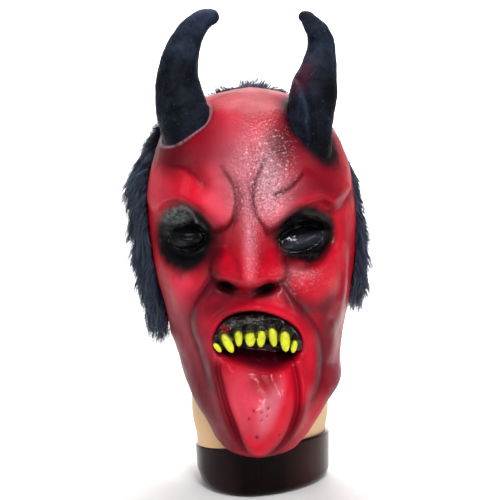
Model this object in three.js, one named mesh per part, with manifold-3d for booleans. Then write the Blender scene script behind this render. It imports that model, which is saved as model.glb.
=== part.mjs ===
// A devil's face mask moulded in latex, with glued-on horns and a panel of fur, on a plain display head.
// Millimetres, Z up. The face looks toward -Y, and the underside of the base is at Z = 0.

import * as THREE from 'three';
import { mergeVertices } from 'three/addons/utils/BufferGeometryUtils.js';
import Module from 'manifold-3d';

const wasm = await Module();
wasm.setup();

// Driving dimensions
const FACE_HEIGHT = 330; // from the chin to the crown
const FACE_WIDTH = 198; // across the cheeks
const HOOD_DEPTH = 200; // from the forehead to the back of the hood
const LATEX_WALL = 3.2;
const EYE_SLIT = [27, 9]; // width and height of each opening to see through
const HORN_HEIGHT = 120; // from where a horn leaves the brow to its tip
const FUR_DEPTH = 22; // how far the pile stands off the latex
const FUR_BACKING = 4; // thickness left at the edges of the panel
const FUR_HEM_DROP = 22; // how much lower the hem hangs on the left than on the right
const FUR_TUFT = 9; // how far each tuft hangs below the next
const FUR_LEAN = 0.18; // share by which the pile is fuller on the left and thinner on the right
const CLEARANCE = 0.3; // between pieces that touch
const CHIN_LIFT = 46; // height of the chin above the table
const MASK_SHIFT = -12; // the mask hangs a little to the left of the stand
const STAND_TURN = THREE.MathUtils.degToRad(-32); // the display head looks past the viewer's left
const NECK_WIDTH = 112;
const NECK_LENGTH = 158;
const BASE_WIDTH = 116;
const BASE_LENGTH = 158;
const BASE_HEIGHT = 37;
const BASE_ROUNDING = 9;

// Rings of the bare form from chin to crown: height, reach to the left, reach to the right,
// middle of the depth, half of the depth.
const RINGS = [
  [0, 0, 0, -82, 0],
  [3, 18, 32, -77, 24],
  [12, 29, 44, -72, 35],
  [26, 38, 56, -63, 45],
  [42, 51, 72, -48, 58],
  [58, 60, 85, -29, 74],
  [80, 68, 86, -9, 90],
  [105, 76, 86, -1, 96],
  [135, 83, 93, 2, 98],
  [165, 91, 99, 6, 98],
  [195, 95, 101, 8, 98],
  [220, 97, 100, 7, 100],
  [245, 96, 96, 5, 100],
  [268, 90, 90, 3, 95],
  [288, 82, 81, 2, 85],
  [304, 67, 67, 1, 70],
  [316, 50, 50, 1, 52],
  [325, 30, 30, 1, 31],
  [330, 0, 0, 1, 0],
];
const FRONT_SQUARENESS = 2.3;

// The rings and all the carving are drawn at one size, and stretched to the driving dimensions.
const largest = (column) => Math.max(...RINGS.map((ring) => ring[column]));
const STRETCH = new THREE.Vector3(
  FACE_WIDTH / (largest(1) + largest(2)),
  HOOD_DEPTH / (2 * largest(4)),
  FACE_HEIGHT / largest(0),
);

// Swellings and hollows of the face. at is the place across and up, size is the reach sideways,
// upward and downward, turn leans it in degrees, and a larger edge makes a flatter top.
const SWELLINGS = [
  { name: 'nose tip', at: [0, 173], size: [17, 24, 14], turn: 0, rise: 18, edge: 1.6 },
  { name: 'left nose wing', at: [-20, 168], size: [14, 15, 12], turn: 0, rise: 17, edge: 1.6 },
  { name: 'right nose wing', at: [18, 170], size: [14, 15, 12], turn: 0, rise: 17, edge: 1.6 },
  { name: 'nose body', at: [0, 190], size: [18, 28, 24], turn: 0, rise: 9, edge: 1 },
  { name: 'left brow lobe', at: [-28, 223], size: [15, 28, 17], turn: 14, rise: 11, edge: 1.3 },
  { name: 'right brow lobe', at: [24, 222], size: [15, 28, 17], turn: -14, rise: 12, edge: 1.3 },
  { name: 'left socket', at: [-58, 194], size: [25, 20, 19], turn: -8, rise: -19, edge: 1.5 },
  { name: 'right socket', at: [47, 194], size: [25, 20, 19], turn: 8, rise: -19, edge: 1.5 },
  { name: 'left eyelids', at: [-60, 196], size: [17, 11, 10], turn: 8, rise: 10, edge: 1.5 },
  { name: 'right eyelids', at: [47, 195], size: [17, 11, 10], turn: -8, rise: 10, edge: 1.5 },
  { name: 'left cheekbone', at: [-66, 152], size: [20, 18, 18], turn: 0, rise: 8, edge: 1 },
  { name: 'right cheekbone', at: [68, 151], size: [20, 20, 18], turn: 0, rise: 8, edge: 1 },
  { name: 'muzzle', at: [4, 100], size: [46, 48, 62], turn: 0, rise: 10, edge: 2 },
  { name: 'mouth', at: [6, 103], size: [38, 26, 27], turn: 0, rise: -27, edge: 3 },
];

// Folds and ridges that follow a line across the face, with a width and a rise at each end.
const FOLDS = [
  { name: 'nose bridge', path: [[-3, 226], [-2, 204], [0, 184]], width: [9, 15], rise: [7, 10], edge: 1 },
  {
    name: 'left brow', path: [[-36, 220], [-54, 232], [-76, 238]],
    width: [13, 13], rise: [8, 5], edge: 1,
  },
  {
    name: 'right brow', path: [[30, 220], [48, 231], [68, 236], [86, 231]],
    width: [13, 13], rise: [8, 4], edge: 1,
  },
  {
    name: 'gum', path: [[-31, 103], [-18, 114], [6, 118], [30, 114], [42, 102]],
    width: [8, 8], rise: [15, 15], edge: 1,
  },
  {
    name: 'left laugh line', path: [[-34, 162], [-45, 146], [-52, 126], [-50, 104], [-42, 86]],
    width: [6, 8], rise: [-6, -5], edge: 1,
  },
  {
    name: 'right laugh line', path: [[30, 160], [47, 134], [58, 118], [62, 100], [62, 80]],
    width: [6, 8], rise: [-6, -5], edge: 1,
  },
  {
    name: 'tongue', path: [[3, 92], [7, 68], [10, 50], [12, 32], [8, 14]],
    width: [25, 11], rise: [27, 12], edge: 2,
  },
  {
    name: 'left lower lip', path: [[-35, 94], [-35, 76], [-31, 58], [-22, 38]],
    width: [6, 6], rise: [9, 5], edge: 1,
  },
  {
    name: 'right lower lip', path: [[45, 94], [50, 74], [50, 56], [44, 34]],
    width: [6, 6], rise: [10, 6], edge: 1,
  },
];

// Teeth that hang from the gum: place across, place up, width, height, lean in degrees.
const TEETH = [
  [-28, 102, 6, 11, -40],
  [-20, 105, 8, 19, -30],
  [-10, 108, 8, 16, 0],
  [0, 108, 9.4, 15, 0],
  [9.6, 108, 8, 17, 8],
  [20, 109, 8.4, 18, -6],
  [30.7, 106, 9.2, 19, -3],
  [39, 102, 6.4, 13, 10],
];

// The openings that the eyes look through: place across, place up, lean in degrees.
const EYES = [
  [-59, 193, -10],
  [47, 194, 8],
];

// The lower edge of the latex, seen from the side: depth, height.
const RIM = [
  [-90, -30],
  [-86, 10],
  [-60, 24],
  [-15, 48],
  [40, 68],
  [115, 94],
];

// Each horn as stations from its buried root to its tip: across, depth, up, half of the width.
const HORN_LEFT = [
  [-54, -40, 272, 22],
  [-58, -56, 290, 25],
  [-62, -48, 308, 23.5],
  [-66, -42, 336, 20],
  [-62, -38, 361, 16.5],
  [-55, -36, 377, 13.5],
  [-46, -34, 388, 10.5],
  [-37, -33, 393, 8.5],
  [-28, -32, 393, 0],
];
const HORN_RIGHT = [
  [63, -46, 258, 17],
  [60, -57, 276, 21],
  [57, -55, 296, 22.5],
  [57, -47, 314, 22],
  [59, -43, 330, 20.5],
  [63, -40, 347, 17],
  [65, -38, 364, 13.5],
  [62, -36, 378, 10.5],
  [56, -35, 388, 8.5],
  [45, -33, 397, 0],
];
const HORN_ROOT_HEIGHT = 278; // where both horns leave the brow, on the drawn face
const DRAWN_HORN = 120;

// The display head above its neck: height on the drawn face, width, length, as shares of the neck.
const HEAD_RINGS = [
  [86, 1, 0.95],
  [118, 1.04, 0.9],
  [150, 1.08, 0.89],
  [190, 1.13, 0.91],
  [230, 1.16, 0.94],
  [262, 1.12, 0.93],
  [290, 0.96, 0.82],
  [308, 0.74, 0.64],
  [320, 0.48, 0.42],
  [326, 0.24, 0.22],
];
const HEAD_SHIFT = [-9, 8]; // the crown sits left of the neck and behind it

// Meshing
const COLUMNS = 44;
const CROWDING = 0.5; // draws the columns together at the front of the face
const ROW_STEP = 8.2;
const INSIDE_REACH = 9;
const ROUND = 24;
const HORN_SIDES = 12;

const UP = new THREE.Vector3(0, 0, 1);
const FRONT = new THREE.Vector3(0, -1, 0);
const mix = THREE.MathUtils.lerp;
const turned = THREE.MathUtils.degToRad;

function smoothList(list, t) {
  const last = list.length - 1;
  const index = Math.min(Math.floor(t), last - 1);
  const share = t - index;
  const before = list[Math.max(index - 1, 0)];
  const from = list[index];
  const to = list[index + 1];
  const after = list[Math.min(index + 2, last)];
  return from.map((value, k) => {
    const leave = (to[k] - before[k]) / 2;
    const arrive = (after[k] - value) / 2;
    const square = share * share;
    const cube = square * share;
    return value * (2 * cube - 3 * square + 1) + leave * (cube - 2 * square + share)
      + to[k] * (3 * square - 2 * cube) + arrive * (cube - square);
  });
}

function swelling({ at, size, turn, rise, edge }, x, z) {
  const angle = turned(turn);
  const across = (x - at[0]) * Math.cos(angle) + (z - at[1]) * Math.sin(angle);
  const up = (z - at[1]) * Math.cos(angle) - (x - at[0]) * Math.sin(angle);
  const far = Math.hypot(across / size[0], up / (up > 0 ? size[1] : size[2]));
  return rise * Math.exp(-(far ** (2 * edge)));
}

function fold({ path, width, rise, edge }, x, z) {
  let nearest = Infinity;
  let along = 0;
  path.slice(1).forEach((end, index) => {
    const start = path[index];
    const run = [end[0] - start[0], end[1] - start[1]];
    const reach = (x - start[0]) * run[0] + (z - start[1]) * run[1];
    const share = THREE.MathUtils.clamp(reach / (run[0] ** 2 + run[1] ** 2), 0, 1);
    const distance = Math.hypot(x - start[0] - run[0] * share, z - start[1] - run[1] * share);
    if (distance < nearest) {
      nearest = distance;
      along = (index + share) / (path.length - 1);
    }
  });
  const far = nearest / mix(width[0], width[1], along);
  return mix(rise[0], rise[1], along) * Math.exp(-(far ** (2 * edge)));
}

// How far the carving stands out of the bare form at a place across and up the face
function carving(x, z) {
  const swellings = SWELLINGS.reduce((sum, item) => sum + swelling(item, x, z), 0);
  return FOLDS.reduce((sum, item) => sum + fold(item, x, z), swellings);
}

// The lowest carving in the neighbourhood, which the hollow inside has to stay behind
function carvingFloor(x, z) {
  const steps = [-INSIDE_REACH, 0, INSIDE_REACH];
  return Math.min(...steps.flatMap((dx) => steps.map((dz) => carving(x + dx, z + dz))));
}

// Depth of a rounded outline at a share of its width: 2 gives an ellipse, more gives a squarer one
function roundness(share, squareness) {
  return Math.max(0, 1 - Math.abs(share) ** squareness) ** (1 / squareness);
}

function formPoint(t, angle) {
  const [height, left, right, middle, half] = smoothList(RINGS, t);
  const across = Math.cos(angle);
  const forward = Math.sin(angle) < 0;
  const reach = Math.max(across < 0 ? left : right, 0);
  const deep = forward ? -roundness(across, FRONT_SQUARENESS) : roundness(across, 2);
  return new THREE.Vector3(across * reach, middle + deep * Math.max(half, 0), height);
}

function formNormal(t, angle) {
  const nudge = 0.004;
  const last = RINGS.length - 1;
  if (t <= nudge) return UP.clone().negate();
  if (t >= last - nudge) return UP.clone();
  const round = formPoint(t, angle + nudge).sub(formPoint(t, angle - nudge));
  const upward = formPoint(t + nudge, angle).sub(formPoint(t - nudge, angle));
  return round.cross(upward).normalize();
}

// A point of the mask's skin: relief is the carving to use, offset moves along the bare form's normal
function skinPoint(t, angle, relief, offset) {
  const point = formPoint(t, angle);
  const normal = formNormal(t, angle);
  const facing = THREE.MathUtils.smoothstep(normal.dot(FRONT), 0, 0.5);
  const outward = normal.clone().lerp(FRONT, facing).normalize();
  point.addScaledVector(outward, relief(point.x, point.z) * facing);
  return point.multiply(STRETCH).addScaledVector(normal, offset);
}

const noCarving = () => 0;

function skinRows(step) {
  const rows = [0];
  RINGS.slice(1).forEach((ring, index) => {
    const count = Math.max(1, Math.round((ring[0] - RINGS[index][0]) / step));
    for (let k = 1; k <= count; k += 1) rows.push(index + k / count);
  });
  return rows;
}

function skinColumns(count) {
  return Array.from({ length: count }, (_, k) => {
    const whole = (2 * Math.PI * k) / count;
    return whole - CROWDING * Math.sin(whole) - Math.PI / 2;
  });
}

function toGeometry(points, faces) {
  const geometry = new THREE.BufferGeometry();
  const numbers = points.flatMap((point) => point.toArray());
  geometry.setAttribute('position', new THREE.Float32BufferAttribute(numbers, 3));
  geometry.setIndex(faces.flat());
  return geometry;
}

// A closed skin over rings of points, with a point at each end. Each four-sided patch is split
// along its shorter diagonal, which follows the folds.
function loft(rings, bottom, top) {
  const count = rings[0].length;
  const points = [...rings.flat(), bottom, top];
  const bottomIndex = rings.length * count;
  const faces = [];
  for (let k = 0; k < count; k += 1) {
    const next = (k + 1) % count;
    faces.push([bottomIndex, next, k]);
    for (let row = 0; row < rings.length - 1; row += 1) {
      const here = row * count;
      const above = here + count;
      const [a, b, c, d] = [here + k, here + next, above + next, above + k];
      if (points[a].distanceTo(points[c]) < points[b].distanceTo(points[d])) {
        faces.push([a, b, c], [a, c, d]);
      } else {
        faces.push([a, b, d], [b, c, d]);
      }
    }
    const end = (rings.length - 1) * count;
    faces.push([end + k, end + next, bottomIndex + 1]);
  }
  return toGeometry(points, faces);
}

// A thick patch between two equal grids of points, the outer one first
function slab(outer, inner) {
  const rows = outer.length;
  const count = outer[0].length;
  const half = rows * count;
  const faces = [];
  const quad = (a, b, c, d) => faces.push([a, b, c], [a, c, d]);
  for (let row = 0; row < rows - 1; row += 1) {
    for (let k = 0; k < count - 1; k += 1) {
      const here = row * count + k;
      quad(here, here + 1, here + count + 1, here + count);
      quad(half + here, half + here + count, half + here + count + 1, half + here + 1);
    }
    const left = row * count;
    const right = left + count - 1;
    quad(left, left + count, half + left + count, half + left);
    quad(right, half + right, half + right + count, right + count);
  }
  for (let k = 0; k < count - 1; k += 1) {
    const top = (rows - 1) * count + k;
    quad(k, half + k, half + k + 1, k + 1);
    quad(top, top + 1, half + top + 1, half + top);
  }
  return toGeometry([...outer.flat(), ...inner.flat()], faces);
}

function solid(geometry) {
  geometry.deleteAttribute('normal');
  geometry.deleteAttribute('uv');
  const merged = mergeVertices(geometry, 1e-4);
  return new wasm.Manifold(new wasm.Mesh({
    numProp: 3,
    vertProperties: Float32Array.from(merged.attributes.position.array),
    triVerts: Uint32Array.from(merged.index.array),
  }));
}

function maskForm(rows, columns, relief, offset) {
  const rings = rows.slice(1, -1).map((t) => columns.map((a) => skinPoint(t, a, relief, offset)));
  const bottom = skinPoint(rows[0], 0, noCarving, offset);
  const top = skinPoint(rows[rows.length - 1], 0, noCarving, offset);
  return solid(loft(rings, bottom, top));
}

// A flat outline in depth and height, drawn out across the whole width
function sidePrism(outline) {
  const stretched = outline.map(([y, z]) => new THREE.Vector2(y * STRETCH.y, z * STRETCH.z));
  const geometry = new THREE.ExtrudeGeometry(
    new THREE.Shape(stretched),
    { depth: 2 * FACE_WIDTH, bevelEnabled: false },
  );
  geometry.applyMatrix4(new THREE.Matrix4().set(
    0, 0, 1, -FACE_WIDTH,
    1, 0, 0, 0,
    0, 1, 0, 0,
    0, 0, 0, 1,
  ));
  return solid(geometry);
}

function egg(radii, lean, place, round, rows) {
  const geometry = new THREE.SphereGeometry(1, round, rows);
  geometry.scale(...radii);
  geometry.rotateY(turned(lean));
  geometry.translate(...place);
  return solid(geometry);
}

function frontDepth(x, z) {
  const t = RINGS.findIndex((ring) => ring[0] > z) - 1;
  const share = (z - RINGS[t][0]) / (RINGS[t + 1][0] - RINGS[t][0]);
  const [, left, right, middle, half] = smoothList(RINGS, t + share);
  const across = x / (x < 0 ? left : right);
  return middle - half * roundness(across, FRONT_SQUARENESS) - carving(x, z);
}

function tooth([x, z, width, height, lean]) {
  const seat = frontDepth(x, z + height * 0.4);
  const depth = width * 0.45;
  return egg([width / 2, depth, height / 2], lean, [x, seat + depth * 0.5, z], 8, 6)
    .scale(STRETCH.toArray());
}

function eyeOpening([x, z, lean]) {
  const [width, height] = EYE_SLIT;
  const place = [x * STRETCH.x, frontDepth(x, z) * STRETCH.y, z * STRETCH.z];
  return egg([width / 2, 30, height / 2], lean, place, 14, 8);
}

function horn(stations, spread) {
  const scale = HORN_HEIGHT / DRAWN_HORN;
  const placed = stations.map(([x, y, z, half]) => [
    x * STRETCH.x,
    y * STRETCH.y,
    HORN_ROOT_HEIGHT * STRETCH.z + (z - HORN_ROOT_HEIGHT) * scale,
    half * scale + (half > 0 ? spread : 0),
  ]);
  const steps = (placed.length - 1) * 2;
  const at = (step) => smoothList(placed, step / 2);
  const rings = [];
  for (let step = 0; step < steps; step += 1) {
    const [x, y, z, half] = at(step);
    const ahead = new THREE.Vector3(...at(step + 1));
    const behind = new THREE.Vector3(...at(Math.max(step - 1, 0)));
    const along = ahead.sub(behind).normalize();
    const side = new THREE.Vector3(0, 1, 0).cross(along).normalize();
    const deep = along.clone().cross(side);
    const centre = new THREE.Vector3(x, y, z);
    rings.push(Array.from({ length: HORN_SIDES }, (_, k) => {
      const angle = (2 * Math.PI * k) / HORN_SIDES;
      return centre.clone()
        .addScaledVector(side, Math.cos(angle) * half)
        .addScaledVector(deep, Math.sin(angle) * half);
    }));
  }
  const root = new THREE.Vector3(...placed[0]);
  const tip = new THREE.Vector3(...placed[placed.length - 1]).addScaledVector(UP, spread);
  return solid(loft(rings, root, tip));
}

// The panel of fur lies over the back and the sides of the hood. Its hem hangs in tufts, lower on the left.
function furPanel() {
  const columns = 21;
  const rows = skinRows(18).filter((t) => t >= 7 && t < RINGS.length - 1.5);
  const edgeAngle = (t) => mix(-0.1, 0.42, THREE.MathUtils.smoothstep(t, 11, 14.5));
  const grid = (pointAt) => rows.map((t, row) => Array.from({ length: columns }, (_, k) => {
    const angle = mix(edgeAngle(t), Math.PI - edgeAngle(t), k / (columns - 1));
    const leftward = (1 - Math.cos(angle)) / 2;
    const droop = row === 0 ? mix(0, FUR_HEM_DROP, leftward) + FUR_TUFT * (k % 2) : 0;
    return pointAt(t, angle, row, k).addScaledVector(UP, -droop);
  }));
  const outer = grid((t, angle, row, k) => {
    const atEdge = k === 0 || k === columns - 1 || row === 0 || row === rows.length - 1;
    const fuller = 1 - FUR_LEAN * Math.cos(angle);
    const tuft = (row + k) % 2 ? 1 : 0.86;
    return skinPoint(t, angle, noCarving, atEdge ? FUR_BACKING : FUR_DEPTH * fuller * tuft);
  });
  const inner = grid((t, angle, row) => (
    skinPoint(t, angle, noCarving, row === 0 ? CLEARANCE : -LATEX_WALL / 2)
  ));
  return solid(slab(outer, inner));
}

function ovalRing(halfWidth, halfLength, x, y, z) {
  return Array.from({ length: ROUND }, (_, k) => {
    const angle = (2 * Math.PI * k) / ROUND;
    return new THREE.Vector3(halfWidth * Math.cos(angle), halfLength * Math.sin(angle), 0)
      .applyAxisAngle(UP, STAND_TURN)
      .add(new THREE.Vector3(x, y, z));
  });
}

// The neck stands on the base and swells into a plain egg that carries the mask on its crown.
function displayHead() {
  const foot = BASE_HEIGHT + CLEARANCE;
  const crown = CHIN_LIFT + FACE_HEIGHT - LATEX_WALL + 1;
  const rings = [ovalRing(NECK_WIDTH / 2, NECK_LENGTH / 2, 0, 0, foot)];
  const [top] = HEAD_RINGS[HEAD_RINGS.length - 1];
  HEAD_RINGS.forEach(([height, width, length]) => {
    const share = Math.min(1, (height - 60) / (top - 120));
    rings.push(ovalRing(
      (width * NECK_WIDTH) / 2,
      (length * NECK_LENGTH) / 2,
      HEAD_SHIFT[0] * share,
      HEAD_SHIFT[1] * share,
      CHIN_LIFT + height * STRETCH.z,
    ));
  });
  return solid(loft(
    rings,
    new THREE.Vector3(0, 0, foot),
    new THREE.Vector3(HEAD_SHIFT[0], HEAD_SHIFT[1], crown),
  ));
}

function displayBase() {
  const halfWidth = BASE_WIDTH / 2;
  const halfLength = BASE_LENGTH / 2;
  const rings = [];
  const arc = (share, low) => {
    const angle = (Math.PI / 2) * share;
    const inward = BASE_ROUNDING * (1 - Math.sin(low ? angle : Math.PI / 2 - angle));
    const rise = BASE_ROUNDING * (low ? 1 - Math.cos(angle) : Math.sin(angle));
    const z = low ? rise : BASE_HEIGHT - BASE_ROUNDING + rise;
    rings.push(ovalRing(halfWidth - inward, halfLength - inward, 0, 0, z));
  };
  [true, false].forEach((low) => [0, 1 / 2, 1].forEach((share) => arc(share, low)));
  return solid(loft(rings, new THREE.Vector3(0, 0, 0), new THREE.Vector3(0, 0, BASE_HEIGHT)));
}

const rows = skinRows(ROW_STEP);
const columns = skinColumns(COLUMNS);
const insideRows = rows.filter((_, index) => index % 2 === 0 || index === rows.length - 1);
const insideColumns = columns.filter((_, index) => index % 2 === 0);
const hollow = (offset) => maskForm(insideRows, insideColumns, carvingFloor, -LATEX_WALL + offset);

const rimBelow = sidePrism([...RIM, [RIM[RIM.length - 1][0], RIM[0][1]]]);
const skin = TEETH.reduce((body, item) => body.add(tooth(item)), maskForm(rows, columns, carving, 0));
const shell = EYES.reduce(
  (body, item) => body.subtract(eyeOpening(item)),
  skin.subtract(hollow(0)).subtract(rimBelow),
);

const keepClear = maskForm(rows, columns, carving, CLEARANCE);
const hornLeft = horn(HORN_LEFT, 0).subtract(keepClear);
const hornRight = horn(HORN_RIGHT, 0).subtract(keepClear);
const fur = furPanel()
  .subtract(keepClear)
  .subtract(horn(HORN_LEFT, CLEARANCE))
  .subtract(horn(HORN_RIGHT, CLEARANCE));

const wallZone = keepClear
  .subtract(hollow(-CLEARANCE))
  .subtract(rimBelow)
  .translate([MASK_SHIFT, 0, CHIN_LIFT]);
const head = displayHead().subtract(wallZone);

function toMesh(name, manifold, color, roughness) {
  const { vertProperties, triVerts } = manifold.getMesh();
  const geometry = new THREE.BufferGeometry();
  geometry.setAttribute('position', new THREE.BufferAttribute(Float32Array.from(vertProperties), 3));
  geometry.setIndex(Array.from(triVerts));
  geometry.computeVertexNormals();
  const material = new THREE.MeshStandardMaterial({ color, roughness, metalness: 0 });
  const mesh = new THREE.Mesh(geometry, material);
  mesh.name = name;
  return mesh;
}

const mask = new THREE.Group();
mask.name = 'mask';
mask.position.set(MASK_SHIFT, 0, CHIN_LIFT);
mask.add(
  toMesh('mask_shell', shell, 0xb30c1c, 0.32),
  toMesh('horn_left', hornLeft, 0x16171a, 0.5),
  toMesh('horn_right', hornRight, 0x16171a, 0.5),
  toMesh('fur_hair', fur, 0x191f2b, 0.9),
);

const stand = new THREE.Group();
stand.name = 'stand';
stand.add(
  toMesh('stand_head', head, 0xc9a777, 0.55),
  toMesh('stand_base', displayBase(), 0x1c1410, 0.2),
);

const part = new THREE.Group();
part.name = 'diablo_mask';
part.add(mask, stand);

export default part;
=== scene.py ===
# A moulded latex devil mask with horns and fur, pulled over a plain display head on an oval base.
# The face is drawn in millimetres: across from its centre line, up from the chin, and depth along Y.

import math

import bpy
import numpy as np
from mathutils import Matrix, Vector


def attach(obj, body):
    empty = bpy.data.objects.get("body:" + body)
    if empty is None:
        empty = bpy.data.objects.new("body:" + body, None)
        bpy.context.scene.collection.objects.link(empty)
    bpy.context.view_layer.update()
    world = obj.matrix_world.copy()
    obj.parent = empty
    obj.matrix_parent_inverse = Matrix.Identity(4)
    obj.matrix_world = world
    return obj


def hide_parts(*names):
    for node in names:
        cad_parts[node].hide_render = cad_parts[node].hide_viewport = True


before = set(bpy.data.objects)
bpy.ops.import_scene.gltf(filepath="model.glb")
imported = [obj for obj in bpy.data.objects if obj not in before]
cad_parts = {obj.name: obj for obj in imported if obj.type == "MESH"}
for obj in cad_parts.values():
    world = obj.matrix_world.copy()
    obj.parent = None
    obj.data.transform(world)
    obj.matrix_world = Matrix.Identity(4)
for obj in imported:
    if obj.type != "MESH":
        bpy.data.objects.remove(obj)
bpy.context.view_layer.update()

MM = 0.001
CHIN_LIFT = 46.0
MASK_SHIFT = -12.0
WALL = 3.2
SEED = 7

# Camera
CAMERA_DISTANCE = 1.25
CAMERA_PITCH = math.radians(6)
CAMERA_HEIGHT = 0.353
CAMERA_LENS = 94.74
SENSOR_WIDTH = 36


def new_object(name, data):
    thing = bpy.data.objects.new(name, data)
    bpy.context.scene.collection.objects.link(thing)
    return thing


def make_camera():
    data = bpy.data.cameras.new("camera")
    data.lens = CAMERA_LENS
    data.sensor_width = SENSOR_WIDTH
    camera = new_object("camera", data)
    camera.location = (MASK_SHIFT * MM, -CAMERA_DISTANCE, CAMERA_HEIGHT)
    camera.rotation_euler = (math.pi / 2 - CAMERA_PITCH, 0, 0)
    bpy.context.scene.camera = camera


make_camera()
bpy.context.scene.view_settings.view_transform = "Standard"

# Bare form: height, reach left, reach right, middle of the depth, half of the depth
RINGS = np.array([
    [0, 0, 0, -82, 0],
    [3, 19, 36, -77, 24],
    [12, 30, 49, -72, 35],
    [26, 39, 60, -63, 45],
    [42, 51, 72, -48, 58],
    [58, 60, 85, -29, 74],
    [80, 68, 86, -9, 90],
    [105, 76, 89, -1, 96],
    [135, 83, 95, 2, 98],
    [165, 91, 99, 6, 98],
    [195, 95, 101, 8, 98],
    [220, 97, 100, 7, 100],
    [245, 96, 96, 5, 100],
    [268, 90, 90, 3, 95],
    [288, 82, 81, 2, 85],
    [304, 67, 67, 1, 70],
    [316, 50, 50, 1, 52],
    [325, 30, 30, 1, 31],
    [330, 0, 0, 1, 0],
], float)
LAST_RING = len(RINGS) - 1
FRONT_SQUARENESS = 2.3
RIM = np.array([[-90, -30], [-86, 10], [-60, 24], [-15, 48], [40, 68], [115, 94]], float)


def smooth_table(table, t):
    """Catmull-Rom through the rows of a table at places t, one row per place."""
    t = np.asarray(t, float)
    last = len(table) - 1
    index = np.clip(np.floor(t).astype(int), 0, last - 1)
    share = (t - index)[..., None]
    before = table[np.maximum(index - 1, 0)]
    start = table[index]
    end = table[index + 1]
    after = table[np.minimum(index + 2, last)]
    leave = (end - before) / 2
    arrive = (after - start) / 2
    square = share**2
    cube = share**3
    return (
        start * (2 * cube - 3 * square + 1)
        + leave * (cube - 2 * square + share)
        + end * (3 * square - 2 * cube)
        + arrive * (cube - square)
    )


def smoothstep(low, high, value):
    share = np.clip((value - low) / (high - low), 0, 1)
    return share * share * (3 - 2 * share)


def bell(value):
    """1 in the middle, falling away smoothly on both sides."""
    return np.exp(-(value**2))


def faded(along, ends):
    """1 along a line, falling to 0 over the given share of it at both ends."""
    return smoothstep(0, ends, along) * smoothstep(0, ends, 1 - along)


def form_point(t, angle):
    height, left, right, middle, half = np.moveaxis(smooth_table(RINGS, t), -1, 0)
    across = np.cos(angle)
    front = np.sin(angle) < 0
    reach = np.maximum(np.where(across < 0, left, right), 0)
    square = np.where(front, FRONT_SQUARENESS, 2.0)
    deep = np.clip(1 - np.abs(across) ** square, 0, None) ** (1 / square)
    deep = np.where(front, -deep, deep) * np.maximum(half, 0)
    return np.stack([across * reach, middle + deep, height], -1)


def unit(vectors):
    return vectors / np.maximum(np.linalg.norm(vectors, axis=-1, keepdims=True), 1e-9)


def form_normal(t, angle):
    nudge = 0.004
    t = np.clip(t, nudge * 1.5, LAST_RING - nudge * 1.5)
    around = form_point(t, angle + nudge) - form_point(t, angle - nudge)
    upward = form_point(t + nudge, angle) - form_point(t - nudge, angle)
    return unit(np.cross(around, upward))


def value_noise(points, cell, seed):
    """Smooth noise from -1 to 1 that changes over about one cell."""
    side = 32
    table = np.random.default_rng(seed).uniform(-1, 1, (side, side, side))
    place = np.asarray(points, float) / cell + 1000
    whole = np.floor(place).astype(int)
    part = place - whole
    part = part * part * (3 - 2 * part)
    total = 0
    for step in np.ndindex(2, 2, 2):
        weight = np.prod(np.where(step, part, 1 - part), axis=-1)
        corner = (whole + step) % side
        total = total + weight * table[corner[..., 0], corner[..., 1], corner[..., 2]]
    return total


def oval(x, z, at, size, turn=0.0):
    """Distance from a place in ovals: 1 on the edge. size is the reach sideways, up and down."""
    angle = math.radians(turn)
    across = (x - at[0]) * math.cos(angle) + (z - at[1]) * math.sin(angle)
    up = (z - at[1]) * math.cos(angle) - (x - at[0]) * math.sin(angle)
    return np.hypot(across / size[0], up / np.where(up > 0, size[1], size[-1]))


def swell(x, z, at, size, rise, turn=0.0, edge=1.0):
    return rise * np.exp(-(oval(x, z, at, size, turn) ** (2 * edge)))


def near_path(x, z, path):
    """Signed distance to a line of points, plus on its left, and the share of the way along it."""
    best = np.full(np.shape(x), 1e9)
    side = np.ones(np.shape(x))
    along = np.zeros(np.shape(x))
    for index in range(len(path) - 1):
        start = path[index]
        run = (path[index + 1][0] - start[0], path[index + 1][1] - start[1])
        share = ((x - start[0]) * run[0] + (z - start[1]) * run[1]) / (run[0] ** 2 + run[1] ** 2)
        share = np.clip(share, 0, 1)
        away_x = x - start[0] - run[0] * share
        away_z = z - start[1] - run[1] * share
        distance = np.hypot(away_x, away_z)
        closer = distance < best
        best = np.where(closer, distance, best)
        along = np.where(closer, (index + share) / (len(path) - 1), along)
        side = np.where(closer, np.sign(run[0] * away_z - run[1] * away_x + 1e-9), side)
    return best * side, along


def smooth_path(path, step=6):
    table = np.array(path, float)
    places = np.linspace(0, len(table) - 1, (len(table) - 1) * step + 1)
    return [tuple(point) for point in smooth_table(table, places)]


def fold(x, z, path, width, rise, ends):
    """A ridge or groove along a line. width and rise each hold a value for both ends."""
    distance, along = near_path(x, z, smooth_path(path))
    reach = width[0] + (width[1] - width[0]) * along
    height = rise[0] + (rise[1] - rise[0]) * along
    return height * faded(along, ends) * bell(distance / reach)


def ledge(x, z, path, rise, crisp, fall, side, ends):
    """A step up across a line, crisp at the line, that falls away gently behind it."""
    distance, along = near_path(x, z, smooth_path(path))
    distance = distance * side
    height = rise * smoothstep(-crisp, crisp, distance) * bell(np.clip(distance, 0, None) / fall)
    return height * faded(along, ends)


def inside(x, z, outline):
    """Distance in from a closed outline, negative outside it."""
    closed = smooth_path(list(outline) + [outline[0]])
    distance, _ = near_path(x, z, closed)
    crossings = np.zeros(np.shape(x), int)
    for (ax, az), (bx, bz) in zip(closed, closed[1:]):
        spans = (az > z) != (bz > z)
        reach = ax + (z - az) * (bx - ax) / np.where(bz == az, 1e-9, bz - az)
        crossings += (spans & (x < reach)).astype(int)
    return np.where(crossings % 2 == 1, np.abs(distance), -np.abs(distance))


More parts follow.
